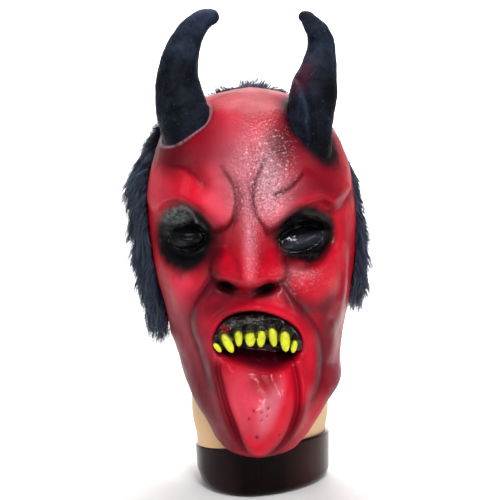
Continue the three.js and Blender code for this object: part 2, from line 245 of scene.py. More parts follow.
# Places on the face
LEFT_EYE = (-58, 193)
RIGHT_EYE = (46, 193)
MOUTH = [
    (-31, 98), (-32, 107), (-27, 119), (-19, 127), (-8, 131), (6, 132), (19, 129), (30, 124),
    (39, 117), (44, 109), (46, 98), (43, 89), (34, 82), (20, 79), (4, 82), (-14, 86), (-27, 91),
]
TONGUE = [
    (-25, 94), (-28, 82), (-25, 66), (-20, 48), (-13, 30), (-6, 14), (1, 4), (10, 2), (18, 6),
    (28, 16), (36, 29), (41, 44), (42, 60), (40, 74), (34, 88), (4, 97),
]
LEFT_LAUGH = [(-31, 163), (-37, 155), (-43, 146), (-49, 135), (-52, 122), (-51, 110), (-46, 98),
              (-41, 82), (-37, 64)]
RIGHT_LAUGH = [(28, 158), (38, 143), (47, 132), (54, 122), (60, 112), (63, 100), (64, 86), (62, 68),
               (56, 50)]
MUZZLE = LEFT_LAUGH[::-1] + [(0, 170)] + RIGHT_LAUGH + [(46, 26), (24, 2), (0, 0), (-24, 22)]
# Height above the chin, centre line, half width and rise of the nose
NOSE_ROWS = np.array([
    [147, -2, 10, 0],
    [151, -2, 14, 5],
    [155, -2, 19, 18],
    [159, -2, 22, 30],
    [164, -2, 24, 37],
    [171, -2, 24, 40],
    [179, -1.5, 22.5, 37],
    [188, -1, 20, 30],
    [198, -1, 17, 23],
    [210, -1.5, 14, 16],
    [224, -4, 12, 9],
    [242, -5, 11, 3],
    [262, -5, 10, 0],
], float)
RIGHT_CHEEK_SEAM = [(87, 182), (90, 160), (86, 132), (80, 108)]
RIGHT_JAW_SEAM = [(74, 120), (77, 100), (74, 78)]
RIGHT_LIP_SEAM = [(24, 160), (34, 147), (44, 137), (51, 127)]
LEFT_GLABELLA = [(-25, 259), (-19, 251), (-14, 241), (-12.5, 231), (-13, 222), (-15, 213), (-21, 203)]
RIGHT_GLABELLA = [(13, 265), (8, 255), (4, 244), (2.5, 234), (4, 222), (9, 212), (16, 200)]
TONGUE_PITS = [
    (16, 50, 1.3), (3, 48, 1.0), (-1, 41, 1.0), (6, 25, 1.4), (10, 47, 0.7), (15, 44, 0.7),
    (10, 40, 0.7), (25, 25, 0.8),
]


LEFT_BROW = [(-88, 212), (-76, 225), (-62, 229), (-49, 221), (-38, 208), (-31, 197)]
RIGHT_BROW = [(13, 197), (24, 205), (36, 214), (50, 224), (66, 228), (80, 218)]

# Swellings and hollows: place, reach sideways, up and down, rise, turn and squareness of the edge
SWELLS = [
    # Nose and nostrils
    ((-2, 168), (15, 12), 4),
    ((-20, 155), (8, 4.6), -11, -14, 1.2),
    ((13.5, 152.5), (9.5, 5), -12, 14, 1.2),
    # Eye sockets, heavy upper lids and the hollows under them
    ((-57, 194), (26, 24, 21), -26, -8, 1.9),
    ((47, 194), (27, 23, 21), -26, 8, 1.9),
    ((-66, 213), (16, 10), 12, 22, 1.2),
    ((44, 214), (20, 7), 7, 8, 1.2),
    ((-63, 202), (14, 3.5), -6, 4, 1.3),
    ((56, 202), (11, 4), -7, 10, 1.3),
    # Cheeks, upper lip and the dents beside the horns
    ((-68, 148), (20, 20), 9),
    ((58, 156), (21, 21, 20), 9, 0, 1.4),
    ((6, 141), (10, 12), 2),
    ((-40, 299), (14, 10), -4),
    ((36, 296), (10, 16), -3),
]
# Steps up across a line: the line, rise, crispness, reach behind the line, raised side and faded ends
LEDGES = [
    # Brow
    (LEFT_GLABELLA, 7, 2.6, 15, -1, 0.2),
    (RIGHT_GLABELLA, 7.5, 2.6, 15, 1, 0.2),
    (LEFT_BROW, 12, 4, 21, 1, 0.12),
    (RIGHT_BROW, 14, 4, 21, 1, 0.12),
    ([(-72, 258), (-60, 257), (-50, 251), (-40, 241)], 2.6, 1.8, 10, -1, 0.25),
    ([(22, 235), (31, 237), (42, 247), (50, 259)], 4.6, 2.2, 9, -1, 0.2),
    # Edges of the upper lids
    ([(-76, 190), (-69, 201), (-58, 206), (-46, 203), (-37, 194)], 6, 1.8, 7, 1, 0.2),
    ([(24, 192), (33, 201), (46, 206), (60, 208), (71, 199)], 6, 1.8, 7, 1, 0.2),
    # Thin wrinkled lower lids
    ([(-75, 187), (-66, 182), (-56, 180.5), (-47, 183), (-40, 190)], 3.4, 1.2, 3, -1, 0.2),
    ([(-74, 180), (-63, 174.5), (-52, 174.5), (-42, 181)], 2.4, 1.2, 4, -1, 0.2),
    ([(26, 186), (36, 181), (47, 180), (58, 184), (67, 193)], 3.6, 1.2, 3, -1, 0.2),
    ([(28, 181), (38, 176.5), (48, 176), (58, 179)], 2.8, 1, 3, -1, 0.2),
    ([(34, 175), (46, 170.5), (58, 171.5), (68, 178), (74, 188)], 3.2, 1.2, 5, -1, 0.2),
    # Laugh lines
    (LEFT_LAUGH, 3.6, 1.6, 10, 1, 0.15),
    (RIGHT_LAUGH, 4.2, 1.8, 12, -1, 0.15),
]
# Ridges and grooves: the line, width and rise at both its ends, and how far its ends are faded
FOLDS = [
    # Wings of the nose
    ([(-27, 181), (-19, 181), (-13, 176), (-12, 164)], (2.2, 2.4), (-1.6, -2.4), 0.25),
    ([(25, 181), (17, 181), (11, 176), (9.5, 163)], (2.2, 2.4), (-1.6, -2.4), 0.25),
    # Brow
    (LEFT_GLABELLA, (1.8, 2.6), (-1.2, -2.5), 0.12),
    (RIGHT_GLABELLA, (1.8, 2.6), (-1.2, -2.5), 0.12),
    ([(24, 237), (33, 240), (43, 249)], (2.2, 2.4), (-2.4, -1.2), 0.2),
    ([(68, 218), (82, 226), (96, 236)], (2.4, 2.4), (-3, -2.5), 0.2),
    ([(66, 224), (80, 232), (94, 242)], (6, 6), (3.4, 3.4), 0.2),
    # Eyeballs and lids
    ([(38, 188), (47, 190), (56, 194), (62, 198)], (2.6, 2.6), (3, 3), 0.2),
    ([(36, 194.5), (46, 197), (55, 201)], (1.2, 1.2), (1.3, 1.3), 0.3),
    ([(-66, 192), (-58, 190), (-48, 192)], (1.3, 1.3), (1.3, 1.3), 0.3),
    ([(-70, 222), (-60, 223), (-52, 216), (-48, 207)], (1.4, 1.4), (-2.6, -2.6), 0.2),
    ([(24, 173), (38, 167), (56, 165), (74, 175)], (2.4, 2.4), (2.2, 2.2), 0.2),
    # Cheeks and jaws
    (LEFT_LAUGH, (2.4, 3), (-3.5, -2), 0.08),
    (RIGHT_LAUGH, (3, 4), (-4, -2), 0.08),
    (RIGHT_LIP_SEAM, (3, 3.5), (3, 2), 0.25),
    ([(-80, 166), (-74, 138), (-64, 112), (-56, 84)], (5, 5), (-2.5, -2.5), 0.3),
    ([(80, 180), (83, 158), (79, 134)], (3, 4), (-3, -3), 0.3),
    (RIGHT_CHEEK_SEAM, (3, 4), (2.6, 2.6), 0.3),
    ([(93, 200), (95, 172), (90, 140)], (3, 3), (-2, -2), 0.3),
    (RIGHT_JAW_SEAM, (4, 5), (3, 3), 0.3),
    # Tongue, lower lip and chin
    ([(12, 90), (19, 74), (25, 58), (22, 38)], (7, 5), (-5, -1), 0.3),
    ([(27, 84), (31, 68), (30, 50)], (6, 6), (3, 2), 0.3),
    ([(2, 56), (6, 40), (8, 20)], (12, 8), (1.2, 1), 0.3),
    ([(-24, 92), (-14, 88), (4, 86), (20, 90)], (4, 4), (2.2, 2.2), 0.25),
    ([(-8, 30), (4, 10), (18, 10)], (5, 5), (2, 2), 0.3),
]
WING_RISE = 24
EYEBALL_RISE = 12
MUZZLE_RISE = 9
MOUTH_DEPTH = 30
TONGUE_RISE = 12
TONGUE_ROUNDING = 24
PIT_RISE = -1.8


def nose_height(x, z):
    centre, half, rise = (np.interp(z, NOSE_ROWS[:, 0], NOSE_ROWS[:, k]) for k in (1, 2, 3))
    share = np.clip(np.abs(x - centre) / half, 0, 1)
    height = rise * (1 - share**2) ** (1.5 - 0.55 * smoothstep(184, 170, z))
    for wing_x, wing_z in ((-23.5, 168), (21.5, 167)):
        wing = oval(x, z, (wing_x, wing_z), (12.5, 18, 11.5))
        wing = WING_RISE * np.clip(1 - wing**2, 0, 1) ** 0.72
        height = (height**3 + wing**3) ** (1 / 3)
    return height


def mouth_height(x, z):
    """The lips, the deep mouth, and the tongue with a groove and a raised rim round it."""
    mouth = inside(x, z, MOUTH)
    tongue = inside(x, z, TONGUE)
    height = 4.5 * bell((mouth + 4) / 4) * smoothstep(90, 112, z)
    height -= MOUTH_DEPTH * smoothstep(-1.5, 4.5 + 8 * smoothstep(104, 88, z), mouth)
    pillow = 1 - (1 - np.clip(tongue / TONGUE_ROUNDING, 0, 1)) ** 2
    height += TONGUE_RISE * pillow * smoothstep(94, 78, z)
    height -= 2.4 * bell(tongue / 2.2) * smoothstep(92, 80, z) * smoothstep(2, 14, z)
    rim = bell((tongue + 6) / 4.5) * smoothstep(10, 34, z) * smoothstep(104, 86, z)
    height += np.where(x > 8, 5.5, 3.5) * rim
    for pit_x, pit_z, size in TONGUE_PITS:
        height += swell(x, z, (pit_x, pit_z), (size, size), PIT_RISE, edge=1.5)
    return height


def carving(x, z):
    """Height of the carved face over the bare form."""
    height = nose_height(x, z) + mouth_height(x, z)
    height += MUZZLE_RISE * smoothstep(-9, 12, inside(x, z, MUZZLE))
    for at, size, turn in ((LEFT_EYE, (17, 10.5, 11), 8), (RIGHT_EYE, (20, 9.5, 11), 12)):
        height += EYEBALL_RISE * np.clip(1 - oval(x, z, at, size, turn) ** 2, 0, 1) ** 0.45
    for shape, rows in ((swell, SWELLS), (ledge, LEDGES), (fold, FOLDS)):
        for row in rows:
            height += shape(x, z, *row)
    return height


def new_mesh(name, points, faces, material):
    mesh = bpy.data.meshes.new(name)
    mesh.from_pydata((np.asarray(points) * MM).tolist(), [], [tuple(face) for face in faces])
    mesh.validate()
    mesh.polygons.foreach_set("use_smooth", [True] * len(mesh.polygons))
    mesh.materials.append(material)
    mesh.update()
    return new_object(name, mesh)


def add_mesh(name, points, faces, material):
    piece = new_mesh(name, points, faces, material)
    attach(piece, "root")
    return piece


def paint(piece, name, values, kind="FLOAT"):
    attribute = piece.data.attributes.new(name, kind, "POINT")
    field = "color" if kind == "FLOAT_COLOR" else "value"
    attribute.data.foreach_set(field, np.asarray(values, np.float32).ravel())


def grid_faces(rows, columns, closed=False, start=0):
    faces = []
    span = columns if closed else columns - 1
    for row in range(rows - 1):
        here = start + row * columns
        for k in range(span):
            after = (k + 1) % columns
            faces.append((here + k, here + after, here + columns + after, here + columns + k))
    return faces


def fan(first, count, end):
    """Triangles from a ring of points to one point."""
    return [(first + k, first + (k + 1) % count, end) for k in range(count)]


def placed(points):
    """A list of points moved from the face's own place to the mask's place on the stand."""
    return (points + np.array([MASK_SHIFT, 0, CHIN_LIFT])).reshape(-1, 3)


def srgb(red, green, blue):
    values = np.array([red, green, blue]) / 255
    linear = np.where(values <= 0.04045, values / 12.92, ((values + 0.055) / 1.055) ** 2.4)
    return tuple(float(value) for value in linear)


class Material:
    """A principled material whose nodes are added one call at a time."""

    def __init__(self, name, **settings):
        self.data = bpy.data.materials.new(name)
        self.data.use_nodes = True
        self.tree = self.data.node_tree
        self.surface = self.tree.nodes["Principled BSDF"]
        for key, value in settings.items():
            self.set(self.surface, key.replace("_", " "), value)

    def set(self, node, key, value):
        names = {socket.name.lower(): socket for socket in node.inputs}
        socket = names[key.lower()] if isinstance(key, str) else node.inputs[key]
        if isinstance(value, bpy.types.NodeSocket):
            self.tree.links.new(value, socket)
        elif isinstance(value, tuple) and len(value) == 3 and socket.type == "RGBA":
            socket.default_value = (*value, 1)
        else:
            socket.default_value = value

    def node(self, kind, out=0, inputs=(), **settings):
        node = self.tree.nodes.new(kind)
        for key, value in settings.items():
            setattr(node, key, value)
        for key, value in dict(inputs).items():
            self.set(node, key, value)
        return node.outputs[out]

    def noise(self, scale, detail, rough=0.55):
        inputs = {"Vector": self.place(), "Scale": scale, "Detail": detail, "Roughness": rough}
        return self.node("ShaderNodeTexNoise", inputs=inputs)

    def place(self):
        return self.node("ShaderNodeTexCoord", out=3)

    def value(self, name):
        return self.node("ShaderNodeAttribute", out=2, attribute_name=name)

    def colour(self, name):
        return self.node("ShaderNodeAttribute", out=0, attribute_name=name)

    def math(self, operation, first, second=0.0):
        return self.node("ShaderNodeMath", inputs={0: first, 1: second}, operation=operation)

    def spread(self, value, low, high, to_low=0.0, to_high=1.0):
        return self.node("ShaderNodeMapRange", inputs={0: value, 1: low, 2: high, 3: to_low, 4: to_high})

    def uneven(self, scale, detail, low=0.0, high=1.0):
        """Noise that wanders between two values."""
        return self.spread(self.noise(scale, detail), 0.3, 0.7, low, high)

    def blend(self, share, first, second, mode="MIX"):
        node = self.tree.nodes.new("ShaderNodeMix")
        node.data_type = "RGBA"
        node.blend_type = mode
        self.set(node, 0, share)
        self.set(node, 6, first)
        self.set(node, 7, second)
        return node.outputs[2]

    def times(self, colour, factor):
        grey = self.node("ShaderNodeCombineColor", inputs={0: factor, 1: factor, 2: factor})
        return self.blend(1.0, colour, grey, "MULTIPLY")

    def bump(self, height, strength, distance, under=None):
        inputs = {"Height": height, "Strength": strength, "Distance": distance}
        if under is not None:
            inputs["Normal"] = under
        return self.node("ShaderNodeBump", inputs=inputs)

    def finish(self, **links):
        for key, value in links.items():
            self.set(self.surface, key.replace("_", " "), value)
        return self.data


def painted_latex():
    """Latex whose painted colour, wetness and grain come from the mesh, broken up by fine noise. Its pale
    flecks are painted highlights where the grain catches the light, with painted light and shade between
    them.
    """
    latex = Material("painted_latex", Specular_IOR_Level=0.1)
    mottle = latex.spread(latex.noise(38, 5), 0.35, 0.7, 0.84, 1.1)
    colour = latex.times(latex.colour("paint"), mottle)
    fleck_and_sparkle = latex.spread(latex.noise(430, 3, 0.65), 0.56, 0.72)
    fleck_and_sparkle = latex.math("MULTIPLY", fleck_and_sparkle, latex.value("fleck_and_sparkle"))
    colour = latex.blend(fleck_and_sparkle, colour, srgb(246, 212, 218))
    # Painted light and shade among the flecks: lighter and darker specks on the pebbled grain
    pebble_light_and_shade = latex.spread(latex.noise(520, 2, 0.6), 0.36, 0.64, -0.5, 0.3)
    pebble_light_and_shade = latex.math("MULTIPLY", pebble_light_and_shade, latex.value("fleck_and_sparkle"))
    colour = latex.times(colour, latex.math("ADD", pebble_light_and_shade, 1.0))
    rough = latex.math("ADD", latex.value("dull"), latex.uneven(90, 3, -0.07, 0.09))
    pebble = latex.math("MULTIPLY", latex.noise(440, 2, 0.5), latex.value("grain"))
    normal = latex.bump(latex.noise(60, 3), 0.12, 0.004)
    normal = latex.bump(pebble, 1.0, 0.003, normal)
    latex.finish(Coat_Weight=latex.value("gloss"), Coat_Roughness=0.16, Coat_Normal=normal)
    return latex.finish(Base_Color=colour, Roughness=rough, Normal=normal)


def horn_latex():
    latex = Material("horn_latex", Specular_IOR_Level=0.07)
    # Grey dust, with a painted highlight mixed in from the mesh
    dust_and_sheen = latex.spread(latex.noise(30, 8, 0.75), 0.38, 0.7)
    dust_and_sheen = latex.math("MULTIPLY", dust_and_sheen, latex.value("dust_and_sheen"))
    colour = latex.blend(dust_and_sheen, srgb(4, 5, 12), srgb(54, 66, 88))
    fleck_and_sparkle = latex.spread(latex.noise(260, 2), 0.66, 0.76)
    colour = latex.blend(latex.math("MULTIPLY", fleck_and_sparkle, 0.4), colour, srgb(74, 86, 106))
    # A painted reddish sheen on the right horn's inner side
    colour = latex.blend(latex.value("stain_and_sheen"), colour, srgb(74, 18, 32))
    normal = latex.bump(latex.noise(55, 6, 0.62), 0.5, 0.004)
    normal = latex.bump(latex.noise(380, 3), 0.6, 0.002, normal)
    return latex.finish(Base_Color=colour, Roughness=latex.uneven(40, 5, 0.44, 0.66), Normal=normal)


def gum_gloss():
    gum = Material("gum_gloss", Specular_IOR_Level=0.6)
    colour = gum.blend(gum.spread(gum.noise(160, 4), 0.45, 0.75), srgb(6, 7, 6), srgb(34, 38, 30))
    colour = gum.blend(gum.value("stain_and_sheen"), colour, srgb(150, 18, 26))
    normal = gum.bump(gum.noise(150, 3), 1.0, 0.006)
    return gum.finish(Base_Color=colour, Roughness=gum.uneven(120, 3, 0.08, 0.2), Normal=normal)


def tooth_paint():
    tooth = Material("tooth_paint", Specular_IOR_Level=0.45)
    shade = tooth.spread(tooth.noise(200, 4), 0.35, 0.75)
    colour = tooth.blend(shade, srgb(222, 226, 38), srgb(194, 200, 30))
    colour = tooth.blend(tooth.spread(tooth.noise(520, 2), 0.64, 0.72), colour, srgb(126, 130, 34))
    normal = tooth.bump(tooth.noise(380, 4), 0.4, 0.0012)
    return tooth.finish(Base_Color=colour, Roughness=tooth.uneven(150, 3, 0.3, 0.5), Normal=normal)


def fur_fibre():
    fur = Material("fur_fibre", Specular_IOR_Level=0.3)
    shade = fur.blend(fur.uneven(60, 5), srgb(27, 32, 45), srgb(70, 82, 106))
    # Paler towards the tips, partly painted light for the bright fringe
    colour = fur.blend(fur.value("tip"), shade, srgb(138, 150, 170))
    return fur.finish(Base_Color=colour, Roughness=fur.uneven(240, 2, 0.45, 0.65))


def raw_latex():
    latex = Material("raw_latex", Specular_IOR_Level=0.3)
    colour = latex.blend(latex.uneven(45, 5), srgb(120, 26, 32), srgb(158, 58, 56))
    normal = latex.bump(latex.noise(240, 4), 0.4, 0.002)
    return latex.finish(Base_Color=colour, Roughness=latex.uneven(70, 3, 0.6, 0.78), Normal=normal)


def head_plastic():
    plastic = Material("head_plastic", Specular_IOR_Level=0.4)
    colour = plastic.blend(plastic.uneven(14, 4), srgb(216, 174, 124), srgb(224, 184, 135))
    stain_and_sheen = plastic.spread(plastic.noise(150, 4), 0.66, 0.8)
    colour = plastic.blend(stain_and_sheen, colour, srgb(204, 164, 112))
    normal = plastic.bump(plastic.noise(500, 3), 0.15, 0.0008)
    return plastic.finish(Base_Color=colour, Roughness=plastic.uneven(60, 4, 0.42, 0.56), Normal=normal)


def base_gloss():
    """Very dark plastic, browner towards both sides: partly its own brown tint, partly painted reflection
    on its glossy sides.
    """
    gloss = Material("base_gloss", Specular_IOR_Level=0.07)
    across = gloss.node("ShaderNodeSeparateXYZ", inputs={0: gloss.place()})
    across = gloss.math("ADD", across, gloss.uneven(12, 3, -0.006, 0.006))
    colour = gloss.blend(gloss.spread(across, -0.052, -0.02), srgb(44, 30, 32), srgb(12, 3, 4))
    colour = gloss.blend(gloss.spread(across, 0.02, 0.05), colour, srgb(46, 17, 12))
    normal = gloss.bump(gloss.noise(22, 3), 0.06, 0.003)
    return gloss.finish(Base_Color=colour, Roughness=gloss.uneven(70, 4, 0.12, 0.24), Normal=normal)


# Horn stations from the buried root to the tip: across, depth, up, half of the width
HORN_LEFT = np.array([
    [-59, -30, 281, 22.5],
    [-58, -47, 296, 24.5],
    [-62, -46, 309, 23.5],
    [-66, -42, 336, 20],
    [-62, -38, 361, 16.5],
    [-55, -36, 377, 13.5],
    [-46, -34, 388, 10.5],
    [-37, -33, 392.5, 8],
    [-28, -32, 392, 5],
], float)
HORN_RIGHT = np.array([
    [61, -46, 258, 15],
    [57, -57, 276, 18],
    [55, -55, 296, 20.5],
    [56, -47, 314, 22],
    [59, -43, 330, 21.5],
    [63, -40, 347, 17],
    [65, -38, 364, 13.5],
    [62, -36, 378, 10.5],
    [56, -35, 387, 8.5],
    [50, -34, 392.5, 6.5],
    [44, -33, 393, 4.5],
], float)

# Colours of the painted skin
RED = srgb(178, 10, 34)
BRIGHT = srgb(204, 14, 42)
MAROON = srgb(78, 6, 22)
WINE = srgb(72, 4, 18)
DUSKY = srgb(120, 46, 60)
HIGHLIGHT_PINK = srgb(204, 122, 138)
# Pale pink is a painted highlight on the forehead, nose bridge, right cheek and tongue
ROSE = srgb(214, 66, 86)
BLACK = srgb(9, 9, 12)
# Painted shade for the recess of the mouth under the gum
MOUTH_PIT_SHADE = srgb(40, 3, 9)
LID_GREY = srgb(116, 126, 124)
# Pale glue round the foot of the left horn; the same colour is a painted highlight along the left upper
# lid's edge
GLUE_AND_LID_HIGHLIGHT = srgb(168, 156, 162)
CROWN = srgb(150, 30, 48)
# Painted shadow at the root of the tongue
TONGUE_ROOT_SHADOW = srgb(150, 8, 28)
# A painted reflection on the glossy right eyeball
EYE_REFLECTION_GREY = srgb(62, 66, 76)
# Glare is a painted highlight on the forehead
GLARE = srgb(226, 182, 194)
FAR_OUTSIDE = -99
# Shade of less reach than this is a crisp, darker line
CRISP_REACH = 4


def soft_oval(x, z, at, size, turn=0.0, soft=0.35):
    return 1 - smoothstep(1 - soft, 1 + soft, oval(x, z, at, size, turn))


# Shade along the folds, under the nose, cheek and brows and at the root of the tongue, partly the mask's
# own dark airbrush and partly painted shade: the line it follows, its reach and its strength
SHADES = [
    (LEFT_LAUGH, 9, 0.6),
    (LEFT_LAUGH, 1.6, 0.85),
    (RIGHT_LAUGH, 1.8, 0.6),
    (RIGHT_LAUGH, 6, 0.6),
    (LEFT_GLABELLA, 2, 0.65),
    (RIGHT_GLABELLA, 2, 0.65),
    ([(-12, 155), (0, 153.5), (8, 153)], 3.5, 0.6),
    ([(-21, 252), (-8, 236), (-10, 218), (-18, 203)], 4, 0.35),
    ([(68, 130), (70, 108), (68, 84)], 8, 0.75),
    ([(34, 143), (48, 134), (62, 131), (74, 138)], 8, 0.75),
    ([(-74, 262), (-58, 262), (-46, 254), (-38, 244)], 7, 0.5),
    ([(-70, 259), (-59, 258), (-49, 252), (-41, 244)], 1.6, 0.6),
    ([(22, 235.5), (34, 240.5), (46, 252)], 2, 0.9),
    ([(-27, 204), (-24, 193), (-28, 181)], 6, 0.7),
    ([(2, 88), (7, 76), (16, 66)], 8, 0.85),
    ([(-82, 160), (-76, 130), (-66, 100)], 7, 0.45),
    ([(66, 214), (82, 222), (97, 232)], 5, 0.55),
    ([(40, 236), (56, 240), (76, 238)], 12, 0.6),
    ([(-36, 204), (-32, 190), (-34, 176)], 7, 0.85),
    ([(19, 204), (26, 192), (32, 180)], 5, 0.75),
    ([(-36, 168), (-33, 156), (-38, 146)], 6, 0.8),
    ([(-32, 150), (-22, 143), (-36, 134)], 9, 0.75),
    ([(-26, 150), (-6, 146), (18, 146)], 4.5, 0.75),
    ([(33, 172), (33, 160), (28, 150)], 4, 0.7),
    ([(-10, 178), (-8, 166), (-14, 158)], 3, 0.3),
    ([(-33, 84), (-27, 60), (-18, 36), (-6, 12)], 5, 0.7),
    ([(46, 44), (36, 22), (20, 4)], 7, 0.75),
    ([(12, 90), (19, 74), (26, 58)], 5, 0.7),
    ([(84, 210), (90, 190), (90, 165)], 4, 0.3),
    ([(86, 156), (84, 132), (78, 112)], 6, 0.5),
]
# Softly sprayed patches: place, reach sideways, up and down, turn, softness, strength and colour. The pale
# pink and glare patches are painted highlights; the maroon ones are partly the mask's dark airbrush and
# partly painted shade
PATCHES = [
    ((-2, 250), (28, 42, 40), 0, 0.85, 0.7, HIGHLIGHT_PINK),
    ((26, 232), (15, 22), -30, 0.7, 0.5, HIGHLIGHT_PINK),
    ((17, 252), (10, 26), 0, 0.9, 0.5, GLARE),
    ((-29, 236), (11, 28), 8, 0.6, 0.35, ROSE),
    ((0, 322), (60, 24), 0, 0.8, 0.6, CROWN),
    ((0, 198), (6, 30, 30), 0, 0.7, 0.5, HIGHLIGHT_PINK),
    ((-82, 236), (12, 20), 0, 0.7, 0.5, ROSE),
    ((-48, 244), (14, 12), 0, 0.7, 0.7, BRIGHT),
    ((-58, 280), (42, 28, 24), -8, 0.5, 0.6, MAROON),
    ((-78, 274), (18, 22), 0, 0.6, 0.55, BLACK),
    ((60, 270), (30, 30, 30), 0, 0.45, 0.6, MAROON),
    ((29, 282), (14, 22), -20, 0.8, 0.85, MAROON),
    ((72, 62), (12, 26), 18, 0.6, 0.7, MAROON),
    ((88, 252), (10, 18), 0, 0.7, 0.6, BRIGHT),
    ((77, 196), (8, 26), 0, 0.7, 0.7, BRIGHT),
    ((-52, 88), (24, 58), 12, 0.6, 0.65, DUSKY),
    ((-60, 60), (20, 40), 20, 0.6, 0.6, MAROON),
    ((-28, 26), (16, 36), 28, 0.6, 0.75, MAROON),
    ((80, 92), (10, 40), 0, 0.7, 0.6, DUSKY),
    ((-68, 152), (16, 16), 0, 0.7, 0.5, ROSE),
    ((58, 160), (17, 16), 0, 0.7, 0.55, BRIGHT),
    ((42, 166), (14, 5), -10, 0.8, 0.4, HIGHLIGHT_PINK),
    ((56, 100), (5, 24, 36), 0, 0.6, 0.7, BRIGHT),
    ((40, 134), (12, 7), -40, 0.8, 0.5, BRIGHT),
    ((-20, 132), (14, 9), 0, 0.7, 0.45, MAROON),
]


def horn_gap(points, stations):
    """Distance from each point to the lower part of a horn."""
    table = smooth_table(stations, np.linspace(0, 4, 30))
    return np.minimum.reduce([np.linalg.norm(points - row[:3], axis=-1) - row[3] for row in table])


